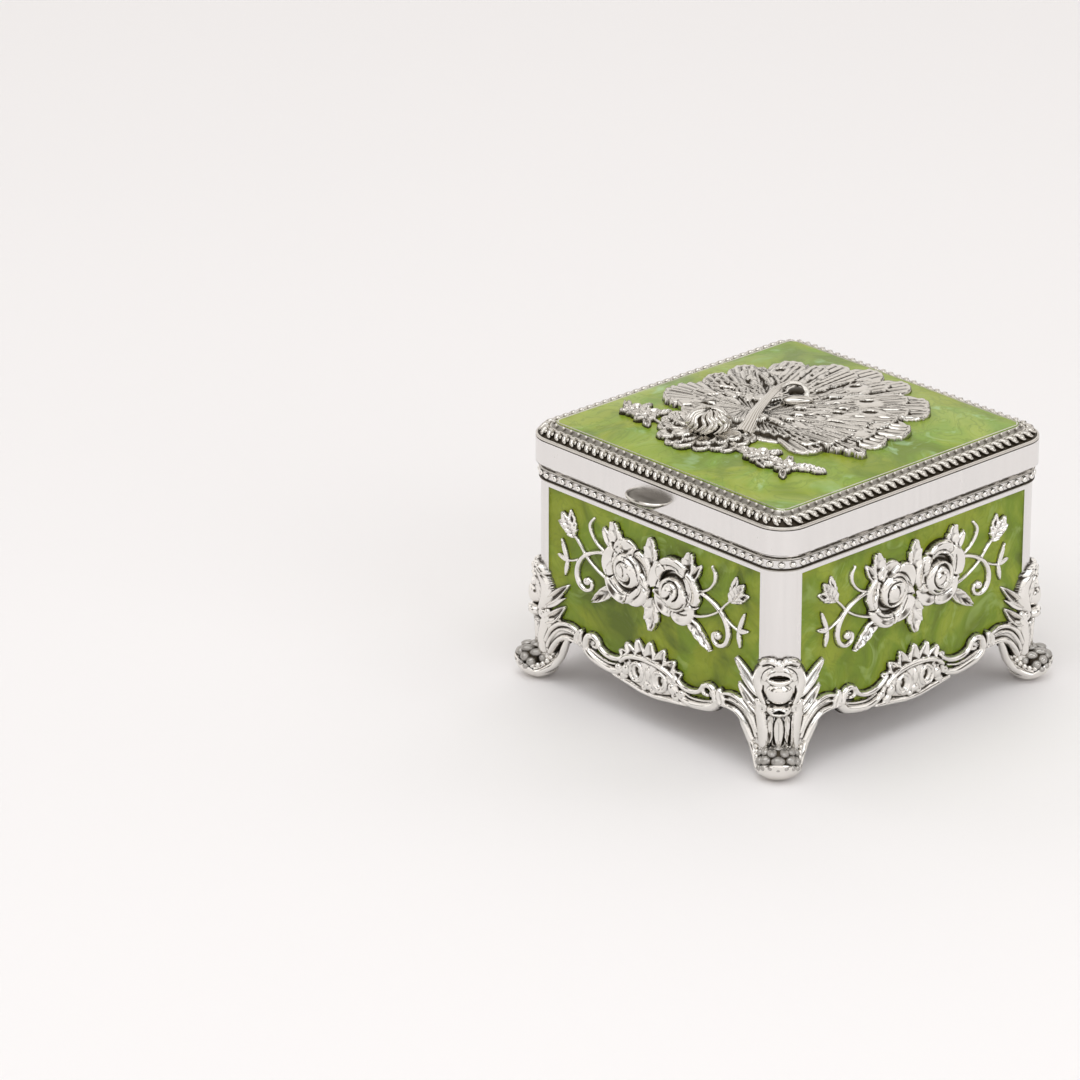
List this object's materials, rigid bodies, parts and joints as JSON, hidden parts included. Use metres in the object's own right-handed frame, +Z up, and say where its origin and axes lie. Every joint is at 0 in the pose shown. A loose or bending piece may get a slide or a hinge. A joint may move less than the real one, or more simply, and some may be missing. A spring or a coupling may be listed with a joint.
{
  "type": "trinket box",
  "caption": "Square footed trinket box: cast silvered body, green enamel panels, rose sprays, and a hinged enamel lid with a peacock in relief.",
  "frame": {"origin": "centre of the outline on the surface that the feet stand on", "axes": "+Z up, -Y towards the thumb tab at the front, +X to the right seen from the front, hinge at +Y"},
  "size_m": [0.1018, 0.1082, 0.082],
  "materials": {
    "satin_silver": "satin silver plate on cast zinc alloy",
    "bright_silver": "polished silver plate with darkened recesses",
    "antique_silver": "antiqued silver plate, dark in the recesses",
    "panel_enamel": "gloss olive green enamel, marbled",
    "lid_enamel": "gloss yellow-green enamel with pearl swirls",
    "velvet": "black velvet",
    "steel": "plain steel"
  },
  "bodies": {
    "root": {"body_tub": "satin_silver", "bead_rim": "antique_silver", "enamel_front": "panel_enamel", "enamel_right": "panel_enamel", "enamel_back": "panel_enamel", "enamel_left": "panel_enamel", "spray_front": "bright_silver", "spray_right": "bright_silver", "spray_back": "bright_silver", "spray_left": "bright_silver", "apron_front": "bright_silver", "apron_right": "bright_silver", "apron_back": "bright_silver", "apron_left": "bright_silver", "foot_front_right": "bright_silver", "foot_back_right": "bright_silver", "foot_back_left": "bright_silver", "foot_front_left": "bright_silver", "foot_screws": "steel", "lining_floor": "velvet", "lining_front": "velvet", "lining_right": "velvet", "lining_back": "velvet", "lining_left": "velvet", "hinge_leaf_body": "satin_silver", "hinge_pin": "steel"},
    "lid": {"hinge_leaf_lid": "satin_silver", "lid_frame": "satin_silver", "lid_border": "antique_silver", "lid_enamel": "lid_enamel", "lining_lid": "velvet", "thumb_tab": "satin_silver", "peacock_tail": "antique_silver", "peacock_body": "antique_silver", "peony": "antique_silver", "lid_leaves": "antique_silver"}
  },
  "joints": [
    {"name": "lid_hinge", "type": "hinge", "parent": "root", "child": "lid", "pos_m": [0, 0.0516, 0.06145], "axis": [-1, 0, 0], "range_deg": [0, 100]}
  ]
}
